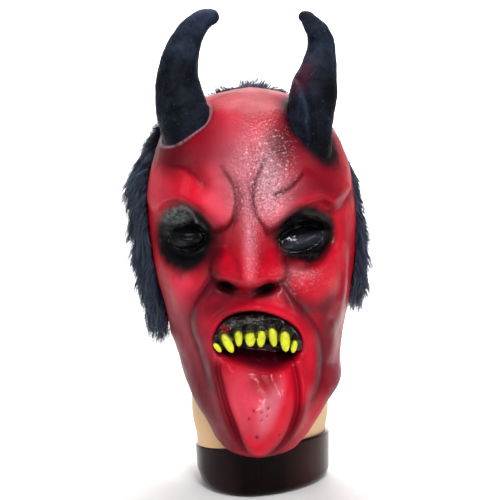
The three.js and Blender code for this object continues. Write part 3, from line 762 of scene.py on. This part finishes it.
def paint_skin(points):
    """Colour of the latex at each point of the face, painted highlights and shade included, and how dull,
    grainy, glossy and flecked with painted highlights it is.
    """
    x, y, z = np.moveaxis(points, -1, 0)
    ragged = value_noise(points, 9, 11) * 2.2 + value_noise(points, 3.5, 12) * 1.2
    front = smoothstep(18, -18, y)
    mouth = np.where(y < 0, inside(x, z, MOUTH), FAR_OUTSIDE)
    tongue = np.where(y < 0, inside(x, z, TONGUE), FAR_OUTSIDE)
    coats = [(0.5 + 0.6 * value_noise(points, 26, 13), BRIGHT)]
    for at, size, turn, soft, share, over in PATCHES:
        coats.append((share * soft_oval(x, z, at, size, turn, soft) * front, over))
    for path, reach, share in SHADES:
        distance, _ = near_path(x, z, smooth_path(path))
        shade = WINE if reach < CRISP_REACH else MAROON
        coats.append((share * bell((distance + 0.3 * ragged) / reach) * front, shade))
    # Tongue, mouth and chin, with a painted highlight on the right of the tongue, and painted shade at its
    # root, along its edge and in the recess under the gum
    inner = smoothstep(0, 9, tongue) * smoothstep(92, 74, z)
    coats += [
        (0.8 * inner, BRIGHT),
        (0.85 * inner * soft_oval(x, z, (-7, 54), (17, 34), -14, 0.6), ROSE),
        (0.6 * inner * soft_oval(x, z, (17, 50), (8, 22), -20, 0.7), HIGHLIGHT_PINK),
        (0.9 * inner * soft_oval(x, z, (10, 75), (13, 12), -30, 0.7), TONGUE_ROOT_SHADOW),
        (0.5 * bell(tongue / 3) * (z < 84), MAROON),
        (smoothstep(-1, 5, mouth), MAROON),
        (0.9 * smoothstep(1, 9, mouth) * smoothstep(84, 100, z), MOUTH_PIT_SHADE),
        (smoothstep(-1.5, 1.5, mouth + ragged * 0.3) * smoothstep(96, 110, z), BLACK),
    ]
    # The pits in the tongue are darkened with painted shade
    for pit_x, pit_z, size in TONGUE_PITS:
        coats.append((0.8 * soft_oval(x, z, (pit_x, pit_z), (size, size), 0, 0.5), MAROON))
    # Black airbrush round the eyes, and black in the nostrils as painted shade in their hollows
    blot = np.maximum.reduce([
        soft_oval(x + ragged, z + ragged, (-60, 194), (29, 31, 34), -6, 0.24),
        soft_oval(x + ragged, z + ragged, (50, 198), (28, 27, 28), 30, 0.2),
    ])
    coats.append((blot * front, BLACK))
    for at, size, turn in (((-20, 154), (10.5, 5.4), -14), ((14, 151.5), (12, 5.8), 14)):
        nostril = soft_oval(x + 0.6 * ragged, z + 0.4 * ragged, at, size, turn, 0.6)
        coats.append((nostril * front, BLACK))
    # Grey left lid with a painted highlight along its edge, the feet of the horns, darkened partly with
    # painted shade and with pale glue round the left one, and a painted reflection on the right eyeball
    lid = soft_oval(x, z, (-66, 213), (14, 9), 20, 0.5) * front
    lid_edge, _ = near_path(x, z, [(-62, 223), (-56, 221), (-51, 215), (-48, 208)])
    left_foot, right_foot = horn_gap(points, HORN_LEFT), horn_gap(points, HORN_RIGHT)
    coats += [
        (lid * (0.5 + 0.6 * value_noise(points, 1.7, 15)), LID_GREY),
        (0.8 * smoothstep(16, 2, right_foot + ragged), MAROON),
        (0.95 * smoothstep(8, 0.5, right_foot + ragged), BLACK),
        (0.6 * smoothstep(7, 1, left_foot + ragged), MAROON),
        (0.6 * bell((left_foot - 1.4) / 0.9) * front, GLUE_AND_LID_HIGHLIGHT),
        (0.6 * soft_oval(x, z, (50, 190), (17, 5), 14, 0.7) * front, EYE_REFLECTION_GREY),
        (0.5 * bell(lid_edge / 0.9) * front, GLUE_AND_LID_HIGHLIGHT),
    ]
    colour = np.broadcast_to(np.array(RED), points.shape)
    for share, over in coats:
        share = np.clip(share, 0, 1)[..., None]
        colour = colour * (1 - share) + np.array(over) * share
    # Wetness, grain, and the pale flecks that are painted highlights where the grain catches the light
    wet = np.maximum.reduce([
        soft_oval(x, z, LEFT_EYE, (23, 19), 10, 0.3), soft_oval(x, z, RIGHT_EYE, (27, 24), 12, 0.3),
        smoothstep(-6, 0, mouth), 0.3 * inner,
    ]) * front
    speckled = soft_oval(x, z, (9, 252), (26, 40, 42), -8, 0.7) * front
    bridge = soft_oval(x, z, (3, 188), (7, 30), 0, 0.8) * front
    cheek = soft_oval(x, z, (50, 162), (24, 12), -8, 0.8) * front
    seams = np.zeros(x.shape)
    for path in (RIGHT_CHEEK_SEAM, RIGHT_JAW_SEAM, RIGHT_LIP_SEAM):
        distance, _ = near_path(x, z, path)
        seams = np.maximum(seams, bell(distance / 5))
    left_eye = wet * (x < -30)
    grain = 0.08 + speckled + 0.4 * bridge + 0.5 * cheek + 0.8 * lid
    grain = np.clip(grain - 0.6 * wet, 0.04, 1.2)
    dull = 0.46 - 0.28 * wet + 0.14 * blot * (1 - wet) + 0.1 * left_eye
    gloss = 0.04 + 0.6 * speckled + 0.5 * bridge + 0.5 * cheek + 0.45 * wet + 0.5 * seams - 0.34 * left_eye
    fleck_and_sparkle = 0.85 * speckled * smoothstep(-26, 14, x) + 0.15 * speckled + 0.35 * bridge + 0.4 * cheek
    fleck_and_sparkle = fleck_and_sparkle * (1 - np.clip(blot + wet, 0, 1)) * smoothstep(48, 30, x - 30 * cheek) * front
    return colour, {"dull": dull, "grain": grain, "gloss": gloss, "fleck_and_sparkle": fleck_and_sparkle}


SKIN_COLUMNS, SKIN_ROWS = ((276, 262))
LINING_ROWS = 60
CROWDING = 0.52
CROWN_START = 276
RIM_RINGS = 9
LINING_REACH = 5


def rim_start(angles):
    """How far up each column the lower edge of the latex lies."""
    steps = np.linspace(0, RIM_RINGS, 100 * RIM_RINGS)
    grid_t, grid_angle = np.meshgrid(steps, angles, indexing="ij")
    points = form_point(grid_t, grid_angle)
    below = points[..., 2] < np.interp(points[..., 1], RIM[:, 0], RIM[:, 1])
    last = len(steps) - 1 - np.argmax(below[::-1], axis=0)
    return np.where(below.any(axis=0), steps[last], 0.0)


def column_places(start, count):
    """Places up every column, evenly spaced in length and finer over the face than over the crown."""
    columns = []
    for angle, low in zip(*start):
        fine = np.linspace(low, LAST_RING - 0.01, 400)
        points = form_point(fine, np.full_like(fine, angle))
        steps = np.linalg.norm(np.diff(points, axis=0), axis=1)
        steps = steps * np.where(points[1:, 2] < CROWN_START, 1.0, 0.5)
        length = np.concatenate([[0], np.cumsum(steps)])
        columns.append(np.interp(np.linspace(0, length[-1], count), length, fine))
    return np.array(columns).T


def raised(t, angle, height, offset):
    """Points of the form lifted by the carving, which faces the viewer over the front."""
    base = form_point(t, angle)
    normal = form_normal(t, angle)
    facing = smoothstep(0, 0.5, -normal[..., 1])
    outward = unit(normal * (1 - facing[..., None]) + np.array([0, -1, 0]) * facing[..., None])
    wobble = 0.7 * value_noise(base, 24, 21) + 0.25 * value_noise(base, 8, 22)
    return base + outward * (height * facing + wobble)[..., None] + normal * offset


def make_skin():
    whole = 2 * np.pi * np.arange(SKIN_COLUMNS) / SKIN_COLUMNS
    angles = whole - CROWDING * np.sin(whole) - np.pi / 2
    t = column_places((angles, rim_start(angles)), SKIN_ROWS)
    angle = np.broadcast_to(angles, t.shape)
    base = form_point(t, angle)
    height = carving(base[..., 0], base[..., 2])
    points = raised(t, angle, height, 0)
    colour, finish = paint_skin(points)
    top = points[-1].mean(axis=0)
    count = SKIN_ROWS * SKIN_COLUMNS
    faces = grid_faces(SKIN_ROWS, SKIN_COLUMNS, closed=True)
    faces += fan(count - SKIN_COLUMNS, SKIN_COLUMNS, count)
    skin = add_mesh("mask_skin", placed(np.vstack([points.reshape(-1, 3), top])), faces, painted_latex())
    opaque = np.concatenate([colour, np.ones(colour.shape[:-1] + (1,))], -1).reshape(-1, 4)
    paint(skin, "paint", np.vstack([opaque, opaque[-1]]), "FLOAT_COLOR")
    for name, values in finish.items():
        paint(skin, name, np.append(values.ravel(), values.ravel()[-1]))
    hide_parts("mask_shell")
    return t, angle, height, points[0]


def lowest_near(height, reach):
    """The lowest carving within some rows and columns, so that the lining never comes through the skin."""
    low = height
    for step in range(1, reach + 1):
        low = np.minimum.reduce([low, np.roll(height, step, 1), np.roll(height, -step, 1)])
    rows = low
    for step in range(1, reach + 1):
        up = np.vstack([low[step:], np.repeat(low[-1:], step, 0)])
        down = np.vstack([np.repeat(low[:1], step, 0), low[:-step]])
        rows = np.minimum.reduce([rows, up, down])
    return rows


def make_lining(t, angle, height, rim):
    """The raw inner face of the latex, with the cut edge that joins it to the skin."""
    rows = np.linspace(0, len(t) - 1, LINING_ROWS).astype(int)
    points = raised(t, angle, lowest_near(height, LINING_REACH), -WALL)[rows]
    points[0, :, 2] = np.maximum(points[0, :, 2], rim[:, 2] - 1)
    faces = [face[::-1] for face in grid_faces(LINING_ROWS + 1, SKIN_COLUMNS, closed=True)]
    points = np.vstack([rim, points.reshape(-1, 3)])
    lining = add_mesh("mask_lining", placed(points), faces, raw_latex())
    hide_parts("mask_shell")


# Gum and teeth
GUM_LINE = [
    (-29, 97), (-27, 105), (-21, 112.5), (-12, 117), (2, 118), (18, 117), (30, 113), (39, 106), (44, 96),
]
GUM_REACH = 14.0
GUM_DEPTH = -103.0
GUM_SWELL = 7
GUM_ROUND = 15
GUM_CURL = 16
TOOTH_DEPTH = 2.6
TOOTH_SINK = 0.8
# Place, width, height and lean in degrees
TEETH = [
    (-28.5, 100.5, 5.0, 10.0, -36),
    (-19.5, 104.5, 8.2, 19.0, -26),
    (-10, 109, 7.2, 14.5, -3),
    (0.3, 108.3, 9.6, 14.0, 0),
    (9.8, 109, 8.2, 16.5, 4),
    (20.3, 110, 7.6, 17.5, -8),
    (31, 106, 9.0, 18.8, -4),
    (38.8, 101, 5.8, 11.5, 12),
]


def gum_surface(x, z):
    """Depth of the gum's front, pushed out round the top of every tooth."""
    distance, _ = near_path(x, z, smooth_path(GUM_LINE))
    out = GUM_SWELL * np.sqrt(np.clip(1 - (distance / GUM_ROUND) ** 2, 0, 1))
    for tooth_x, tooth_z, width, height, lean in TEETH:
        ring = oval(x, z, (tooth_x, tooth_z), (width / 2, height / 2), -lean)
        upper = smoothstep(-height * 0.35, height * 0.25, z - tooth_z)
        out += 4.2 * bell((ring - 1.3) / 0.18) * upper
        out -= 2.0 * bell((ring - 1.8) / 0.2) * upper
        out -= 2.0 * bell(ring**2)
    out += 0.35 * value_noise(np.stack([x, x * 0, z], -1), 4, 31)
    return GUM_DEPTH - out + 5 * (x / 44) ** 2


def make_gum():
    line = np.array(smooth_path(GUM_LINE, 20))
    rows = 34
    run = np.gradient(line, axis=0)
    across = unit(np.stack([-run[:, 1], run[:, 0]], -1))
    grid = []
    for share in np.linspace(-1, 1, rows):
        taper = np.sqrt(1 - np.linspace(-0.99, 0.99, len(line)) ** 6)
        at = line + across * (GUM_REACH * share * taper)[:, None]
        curl = abs(share) ** 5 + smoothstep(1, -4, inside(at[:, 0], at[:, 1], MOUTH))
        curl = GUM_CURL * curl + 10 * (1 - taper)
        depth = gum_surface(at[:, 0], at[:, 1]) + curl
        grid.append(np.stack([at[:, 0], depth, at[:, 1]], -1))
    points = np.array(grid)
    gum = add_mesh("mask_gum", placed(points), grid_faces(rows, len(line)), gum_gloss())
    stain_and_sheen = soft_oval(points[..., 0], points[..., 2], (-22, 117), (4, 3), 0, 0.7)
    paint(gum, "stain_and_sheen", 0.6 * stain_and_sheen.ravel())
    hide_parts("mask_shell")


def make_teeth():
    """Flattened drops: rounded at the gum and slightly pointed below."""
    around, up = 20, 14
    polar = np.linspace(0, math.pi, up + 1)[:, None]
    turn = 2 * math.pi * np.arange(around) / around
    girth = np.sin(polar) ** 0.8 * (1 + 0.16 * np.cos(polar))
    points, faces = [], []
    for x, z, width, height, lean in TEETH:
        faces += grid_faces(up + 1, around, closed=True, start=len(points) * (up + 1) * around)
        angle = math.radians(-lean)
        seat = gum_surface(np.array([x]), np.array([z])) - TOOTH_SINK
        side = np.cos(turn) * girth * width / 2
        level = np.cos(polar) * height / 2
        points.append(np.stack([
            x + side * math.cos(angle) - level * math.sin(angle),
            seat + np.sin(turn) * girth * TOOTH_DEPTH,
            z + level * math.cos(angle) + side * math.sin(angle),
        ], -1))
    teeth = add_mesh("mask_teeth", placed(np.array(points)), faces, tooth_paint())
    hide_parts("mask_shell")


# The fold in the latex at the inner foot of the right horn
RIGHT_LOBE = [(36, 340), (46, 331), (53, 313), (55, 298), (56, 278)]
HORN_SIDES, HORN_STEPS = 72, 110
TIP_ROUNDING = 5


def make_horn(name, node, stations, seed, lobe=None):
    places = np.linspace(0, len(stations) - 1, HORN_STEPS)
    places[-1] -= 1e-3
    table = smooth_table(stations, places)
    centre = table[:, :3]
    run = np.append(0, np.cumsum(np.linalg.norm(np.diff(centre, axis=0), axis=1)))
    closing = np.clip(1 - (run[-1] - run) / TIP_ROUNDING, 0, 1)
    half = table[:, 3] * np.sqrt(np.maximum(1 - closing**2, 1e-5))
    along = unit(np.gradient(centre, axis=0))
    side = unit(np.cross([0, 1, 0], along))
    deep = np.cross(along, side)
    angle = 2 * np.pi * np.arange(HORN_SIDES) / HORN_SIDES
    ring = np.cos(angle)[None, :, None] * side[:, None] + np.sin(angle)[None, :, None] * deep[:, None]
    points = centre[:, None] + ring * half[:, None, None]
    dents = 0.9 * value_noise(points, 15, seed) + 0.35 * value_noise(points, 5, seed + 1)
    shrink = np.minimum(half / 8, 1)[:, None]
    points += ring * (dents * shrink)[..., None]
    across, high = points[..., 0], points[..., 2]
    rim = np.zeros(across.shape)
    if lobe:
        front = smoothstep(0.2, -0.3, ring[..., 1])
        lift = ledge(across, high, lobe, 5, 1.6, 26, -1, 0.1)
        lift += fold(across, high, lobe, (2.4, 2.4), (-3.5, -3.5), 0.1)
        points += np.array([0, -1, 0]) * (lift * front)[..., None]
        distance, along = near_path(across, high, smooth_path(lobe))
        rim = bell((distance + 4) / 2.6) * front * smoothstep(0, 0.1, along) * smoothstep(0, 0.2, 1 - along)
    faces = grid_faces(HORN_STEPS, HORN_SIDES, closed=True)
    horn = add_mesh(name, placed(points), faces, horn_latex())
    # Grey dust, more towards the tips and along one side, and a painted highlight along the rounded rim of
    # the lobe
    dust_and_sheen = 0.2 + 0.35 * value_noise(points, 18, seed + 2) + 0.55 * smoothstep(322, 372, high)
    dust_and_sheen += 0.35 * smoothstep(-0.2, -0.8, np.cos(angle))[None, :] + 0.8 * rim
    paint(horn, "dust_and_sheen", np.clip(dust_and_sheen, 0, 1).ravel())
    # Only the right horn gets the painted reddish sheen, on its inner side
    inner = -np.sign(stations[2, 0]) * np.cos(angle)[None, :]
    stain_and_sheen = smoothstep(0, 0.7, inner) * smoothstep(318, 332, high) * smoothstep(362, 344, high)
    paint(horn, "stain_and_sheen", (0.6 * stain_and_sheen * (lobe is not None)).ravel())
    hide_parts(node)


# The fur spreads round the back of the hood: share 0 is its edge on the viewer's right, 1 on the left
FUR_TOP = 17.1
TUFT_SCATTER = 5
TUFT_SPREAD = 2.2
STRAND_SEGMENTS = 4


def fur_edge(t):
    return -0.1 + 0.52 * smoothstep(11, 14.5, t) + 0.4 * smoothstep(14.3, 15.5, t)


def fur_spot(t, share, offset):
    angle = fur_edge(t) + (np.pi - 2 * fur_edge(t)) * share
    normal = form_normal(t, angle)
    return form_point(t, angle) + normal * offset[..., None], normal


def fur_rise(share, up):
    """The fur reaches lower on the viewer's left than on the right."""
    hem = 8.13 - 0.83 * smoothstep(0.1, 0.7, share)
    return hem + (FUR_TOP - hem) * up


def fur_flat(t, share):
    """How far the pile lies flat: beside the horns and high on the viewer's right, but not on the crest."""
    later = 1.4 * smoothstep(0.6, 0.85, share)
    beside = smoothstep(12.4, 14.2, t - later) * smoothstep(0.16, 0.27, np.abs(share - 0.5))
    above = 0.22 + 0.28 * smoothstep(8.9, 10.2, t) + 0.5 * smoothstep(10.1, 11.0, t)
    return np.maximum(beside, smoothstep(0.35, 0.2, share) * above)


def fur_depth(t, share, up):
    """Depth of the matted pile, thin at its edges and deepest on the viewer's left."""
    edge = np.minimum.reduce([share / 0.06, (1 - share) / 0.06, (1 - up) / 0.05, up / 0.02])
    left = smoothstep(0.7, 0.9, share)
    bulk = (7 + 6 * left + 2 * left * smoothstep(9.2, 7.6, t)) * (1 - 0.95 * fur_flat(t, share))
    return 0.4 + 1.2 * (1 - fur_flat(t, share)) + bulk * smoothstep(0, 1, edge)


def make_fur_cap():
    rows, columns = 60, 90
    up, share = np.meshgrid(np.linspace(0, 1, rows), np.linspace(0, 1, columns), indexing="ij")
    t = fur_rise(share, up)
    points, normal = fur_spot(t, share, fur_depth(t, share, up))
    points = points + normal * (1.6 * value_noise(points, 7, 41))[..., None]
    cap = add_mesh("fur_cap", placed(points), grid_faces(rows, columns), fur_fibre())
    paint(cap, "tip", np.zeros(rows * columns))
    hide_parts("fur_hair")


def make_fur(name, start, end, crowd, tufts, strands, seed):
    """Tufts of tapered fibres that lie down the hood, each tuft drawn to a soft point."""
    rng = np.random.default_rng(seed)
    share = start + (end - start) * rng.uniform(0, 1, tufts) ** crowd
    up = rng.uniform(0, 1, tufts)
    t = fur_rise(share, up)
    root, normal = fur_spot(t, share, 0.7 * fur_depth(t, share, up))
    down = np.array([0, 0, -1.0])
    comb = down - normal * (normal @ down)[:, None]
    comb += np.array([0, -0.5, 0]) * smoothstep(0.12, 0, np.minimum(share, 1 - share))[:, None]
    comb = unit(comb + 0.25 * rng.normal(size=(tufts, 3)) + 1e-3)
    flat = fur_flat(t, share)
    lift = (rng.uniform(0.25, 0.55, tufts) * (1 - 0.85 * flat))[:, None]
    heading = unit(comb + normal * lift)
    length = rng.uniform(22, 33, tufts) * (1 - 0.4 * flat)
    scatter = rng.normal(size=(tufts, strands, 3)) * TUFT_SCATTER
    scatter -= normal[:, None] * np.sum(scatter * normal[:, None], -1, keepdims=True)
    starts = root[:, None] + scatter
    tip = root + heading * length[:, None] + down * (length * 0.25)[:, None]
    ends = tip[:, None] + scatter * 0.5 + rng.normal(size=(tufts, strands, 3)) * TUFT_SPREAD
    bow = rng.uniform(1.5, 5.5, (tufts, strands, 1)) * (1 - 0.7 * flat)[:, None, None]
    bow = bow * normal[:, None]
    shorten = rng.uniform(0.6, 1.08, (tufts, strands, 1))
    ends = starts + (ends - starts) * shorten
    sideways = unit(np.cross(ends - starts, normal[:, None]))
    spin = rng.normal(size=starts.shape)
    spin -= sideways * np.sum(spin * sideways, -1, keepdims=True)
    sideways = unit(sideways + 0.9 * unit(spin))
    width = rng.uniform(0.3, 0.6, (tufts, strands, 1))
    levels = []
    parts = np.arange(STRAND_SEGMENTS) / STRAND_SEGMENTS
    for part in parts:
        middle = starts + (ends - starts) * part + bow * 4 * part * (1 - part)
        reach = sideways * width * (1 - 0.75 * part)
        levels += [middle - reach, middle + reach]
    points = np.stack(levels + [ends], axis=2).reshape(-1, 3)
    per = 2 * STRAND_SEGMENTS + 1
    first = np.arange(tufts * strands) * per
    quads = []
    for level in range(STRAND_SEGMENTS - 1):
        quads += np.stack([first + 2 * level + k for k in (0, 1, 3, 2)], -1).tolist()
    quads += np.stack([first + per - 3 + k for k in range(3)], -1).tolist()
    fur = add_mesh(name, placed(points), quads, fur_fibre())
    # Strands grow paler towards their tips, partly as painted light for the bright fringe
    pale = 0.1 + 0.9 * np.tile(np.append(np.repeat(parts, 2), 1), tufts * strands) ** 2
    pale *= np.repeat(rng.uniform(0, 0.85, tufts * strands) ** 2, per)
    paint(fur, "tip", pale)
    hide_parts("fur_hair")


# Display head and base
STAND_TURN = math.radians(-32)
NECK_WIDTH, NECK_LENGTH = 112.0, 158.0
BASE_WIDTH, BASE_LENGTH, BASE_HEIGHT = 116.0, 158.0, 37.0
BASE_ROUNDING, BASE_EDGE = 9.0, 2.2
# The base's rim lies on a slant: its rise in the middle, and how much more per millimetre across and back
RIM_RISE = 4.5
RIM_SLOPE = (0.063, -0.103)
NECK_SINK = 6.0
HEAD_RINGS = [
    (86, 1.04, 0.97), (118, 1.05, 0.9), (150, 1.08, 0.89), (190, 1.13, 0.91), (230, 1.16, 0.94),
    (262, 1.12, 0.93), (290, 0.96, 0.82), (308, 0.74, 0.64), (320, 0.48, 0.42), (326, 0.24, 0.22),
]
HEAD_SHIFT = (-9.0, 8.0)


def oval_ring(half_width, half_length, x, y, z, count=120):
    angle = 2 * np.pi * np.arange(count) / count
    across, deep = half_width * np.cos(angle), half_length * np.sin(angle)
    return np.stack([
        x + across * math.cos(STAND_TURN) - deep * math.sin(STAND_TURN),
        y + across * math.sin(STAND_TURN) + deep * math.cos(STAND_TURN),
        np.full(count, z),
    ], -1)


def lathe(name, rings, material):
    rings = np.array(rings)
    rows, count = rings.shape[:2]
    points = np.vstack([rings.reshape(-1, 3), rings[0].mean(axis=0), rings[-1].mean(axis=0)])
    faces = grid_faces(rows, count, closed=True)
    low, high = rows * count, rows * count + 1
    faces += [face[::-1] for face in fan(0, count, low)]
    faces += fan(low - count, count, high)
    return add_mesh(name, points, faces, material)


def make_display_head():
    foot = BASE_HEIGHT - NECK_SINK
    table = [(foot, 0.985, 0.985, 0, 0), (foot + 17, 0.985, 0.985, 0, 0)]
    table += [(foot + 38, 1.05, 1.02, -1, 0), (foot + 68, 1.04, 1.01, -2, 0)]
    for height, width, length in HEAD_RINGS:
        share = min(1, (height - 60) / 206)
        table.append((CHIN_LIFT + height, width, length, HEAD_SHIFT[0] * share, HEAD_SHIFT[1] * share))
    table = np.array(table)
    rings = []
    for z, width, length, x, y in smooth_table(table, np.linspace(0, len(table) - 1.001, 90)):
        shrink = 0.6 * smoothstep(80, 140, z)
        rings.append(oval_ring(width * NECK_WIDTH / 2 - shrink, length * NECK_LENGTH / 2 - shrink, x, y, z))
    head = lathe("display_head", rings, head_plastic())
    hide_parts("stand_head")


def make_display_base():
    rings = []
    for turn in np.linspace(0, math.pi / 2, 12):
        rings.append((BASE_ROUNDING * (1 - math.sin(turn)), BASE_ROUNDING * (1 - math.cos(turn))))
    rings += [(0, BASE_HEIGHT / 2), (0, BASE_HEIGHT - BASE_EDGE)]
    for turn in np.linspace(0.1, 1, 7) * math.pi / 2:
        rings.append((BASE_EDGE * (1 - math.cos(turn)), BASE_HEIGHT - BASE_EDGE * (1 - math.sin(turn))))
    rings = np.array([
        oval_ring(BASE_WIDTH / 2 - inward, BASE_LENGTH / 2 - inward, 0, 0, z) for inward, z in rings
    ])
    across, deep, high = np.moveaxis(rings, -1, 0)
    slant = RIM_RISE + RIM_SLOPE[0] * across + RIM_SLOPE[1] * deep
    slant = slant * smoothstep(0.5, 1, high / BASE_HEIGHT)
    inset = 1 + 6 * smoothstep(0.7, 0, high / BASE_HEIGHT) * smoothstep(10, -50, across)
    rings = rings + np.stack([inset, 0 * inset, slant], -1)
    base = lathe("display_base", rings, base_gloss())
    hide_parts("stand_base")


# Studio, in millimetres: half the floor's width, its front edge, the bend up to the backdrop and its top
FLOOR_HALF_WIDTH = 5000
FLOOR_FRONT = -3000
BEND_START, BEND_RADIUS = 2200, 800
BACKDROP_TOP = 4000


def make_studio():
    """A pale floor that curves up into a backdrop, with soft lamps above and beside it."""
    floor = Material("studio_floor", Roughness=0.9, Specular_IOR_Level=0.1)
    floor.finish(Base_Color=floor.blend(floor.noise(3, 2), srgb(246, 246, 246), srgb(250, 250, 250)))
    profile = [(FLOOR_FRONT, 0), (BEND_START, 0)]
    for turn in np.linspace(0.1, math.pi / 2, 12):
        profile.append((BEND_START + BEND_RADIUS * math.sin(turn), BEND_RADIUS * (1 - math.cos(turn))))
    profile.append((BEND_START + BEND_RADIUS, BACKDROP_TOP))
    points = [(side, y, z) for y, z in profile for side in (-FLOOR_HALF_WIDTH, FLOOR_HALF_WIDTH)]
    faces = [(k, k + 1, k + 3, k + 2) for k in range(0, len(points) - 2, 2)]
    ground = new_mesh("studio_floor", points, faces, floor.data)
    world = bpy.data.worlds.new("studio")
    world.use_nodes = True
    background = world.node_tree.nodes["Background"]
    background.inputs[0].default_value = (1, 1, 1, 1)
    background.inputs[1].default_value = 0.15
    bpy.context.scene.world = world
    for name, place, aim, size, spread, power in (
        ("key", (0.14, -1.1, 1.05), (0, -0.05, 0.24), 0.3, 70, 1.7),
        ("front_gloss", (0.26, -1.6, 0.62), (0, -0.05, 0.25), 0.2, 60, 0.9),
        ("side_left", (-1.2, -0.6, 0.75), (0, 0, 0.25), 0.5, 60, 0.6),
        ("side_right", (1.2, -0.6, 0.75), (0, 0, 0.25), 0.5, 60, 0.5),
        ("floor", (0, 0.9, 1.7), (0, 0.75, 0), 1.0, 90, 14.0),
        ("backdrop", (0, 1.3, 1.9), (0, 2.8, 0.5), 1.8, 140, 90.0),
    ):
        lamp = bpy.data.lights.new(name, "AREA")
        lamp.size = size
        lamp.spread = math.radians(spread)
        lamp.energy = power
        holder = new_object(name, lamp)
        holder.location = place
        direction = np.array(aim) - np.array(place)
        holder.rotation_euler = Vector(direction.tolist()).to_track_quat("-Z", "Y").to_euler()


make_studio()
make_lining(*make_skin())
make_gum()
make_teeth()
make_horn("horn_left_latex", "horn_left", HORN_LEFT, 51)
make_horn("horn_right_latex", "horn_right", HORN_RIGHT, 61, RIGHT_LOBE)
make_fur_cap()
make_fur("fur_right", 0.0, 0.26, 1.7, 430, 60, SEED)
make_fur("fur_left", 1.0, 0.74, 1.7, 430, 60, SEED + 1)
make_fur("fur_back", 0.14, 0.86, 1.0, 460, 60, SEED + 2)
make_display_head()
make_display_base()
